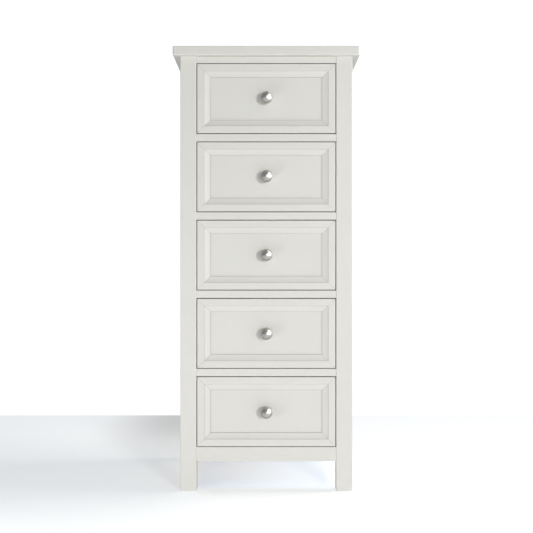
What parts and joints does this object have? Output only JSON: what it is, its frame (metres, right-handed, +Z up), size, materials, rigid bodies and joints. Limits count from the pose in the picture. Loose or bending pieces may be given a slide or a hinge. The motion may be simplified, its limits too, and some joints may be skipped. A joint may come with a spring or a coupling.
{
  "type": "tall chest of drawers",
  "caption": "Tall narrow painted chest of drawers with mitred drawer fronts, round metal knobs, square legs and an overhanging top.",
  "frame": {"origin": "on the floor, under the middle of the overall box (the box reaches from the knobs' fronts to the top's back edge)", "axes": "+Z up; the drawers open towards -Y; +X is to the right of a person facing the front"},
  "size_m": [0.494, 0.415, 1.176],
  "materials": {
    "painted_wood": "satin grey-white paint over solid timber",
    "bare_timber": "planed and sanded, unpainted",
    "plywood": "thin birch-faced plywood, clear sealed",
    "knob_metal": "satin nickel",
    "screw_steel": "bright zinc"
  },
  "bodies": {
    "carcass": {"back_left_leg": "painted_wood", "back_panel": "plywood", "back_right_leg": "painted_wood", "bottom_back_rail": "bare_timber", "bottom_front_rail": "painted_wood", "carcass_screws": "screw_steel", "divider_rail_1": "painted_wood", "divider_rail_2": "painted_wood", "divider_rail_3": "painted_wood", "divider_rail_4": "painted_wood", "drawer_stops": "bare_timber", "front_left_leg": "painted_wood", "front_right_leg": "painted_wood", "left_runners": "bare_timber", "left_side_panel": "painted_wood", "right_runners": "bare_timber", "right_side_panel": "painted_wood", "top_back_rail": "bare_timber", "top_front_rail": "painted_wood", "top_panel": "painted_wood"},
    "drawer_1": {"drawer_1_back": "bare_timber", "drawer_1_bottom": "plywood", "drawer_1_front_frame": "painted_wood", "drawer_1_front_panel": "painted_wood", "drawer_1_knob": "knob_metal", "drawer_1_knob_screw": "screw_steel", "drawer_1_left_side": "bare_timber", "drawer_1_right_side": "bare_timber"},
    "drawer_2": {"drawer_2_back": "bare_timber", "drawer_2_bottom": "plywood", "drawer_2_front_frame": "painted_wood", "drawer_2_front_panel": "painted_wood", "drawer_2_knob": "knob_metal", "drawer_2_knob_screw": "screw_steel", "drawer_2_left_side": "bare_timber", "drawer_2_right_side": "bare_timber"},
    "drawer_3": {"drawer_3_back": "bare_timber", "drawer_3_bottom": "plywood", "drawer_3_front_frame": "painted_wood", "drawer_3_front_panel": "painted_wood", "drawer_3_knob": "knob_metal", "drawer_3_knob_screw": "screw_steel", "drawer_3_left_side": "bare_timber", "drawer_3_right_side": "bare_timber"},
    "drawer_4": {"drawer_4_back": "bare_timber", "drawer_4_bottom": "plywood", "drawer_4_front_frame": "painted_wood", "drawer_4_front_panel": "painted_wood", "drawer_4_knob": "knob_metal", "drawer_4_knob_screw": "screw_steel", "drawer_4_left_side": "bare_timber", "drawer_4_right_side": "bare_timber"},
    "drawer_5": {"drawer_5_back": "bare_timber", "drawer_5_bottom": "plywood", "drawer_5_front_frame": "painted_wood", "drawer_5_front_panel": "painted_wood", "drawer_5_knob": "knob_metal", "drawer_5_knob_screw": "screw_steel", "drawer_5_left_side": "bare_timber", "drawer_5_right_side": "bare_timber"}
  },
  "joints": [
    {"name": "drawer_1_slide", "type": "slide", "parent": "carcass", "child": "drawer_1", "axis": [0, -1, 0], "range_m": [0, 0.265]},
    {"name": "drawer_2_slide", "type": "slide", "parent": "carcass", "child": "drawer_2", "axis": [0, -1, 0], "range_m": [0, 0.265]},
    {"name": "drawer_3_slide", "type": "slide", "parent": "carcass", "child": "drawer_3", "axis": [0, -1, 0], "range_m": [0, 0.265]},
    {"name": "drawer_4_slide", "type": "slide", "parent": "carcass", "child": "drawer_4", "axis": [0, -1, 0], "range_m": [0, 0.265]},
    {"name": "drawer_5_slide", "type": "slide", "parent": "carcass", "child": "drawer_5", "axis": [0, -1, 0], "range_m": [0, 0.265]}
  ]
}
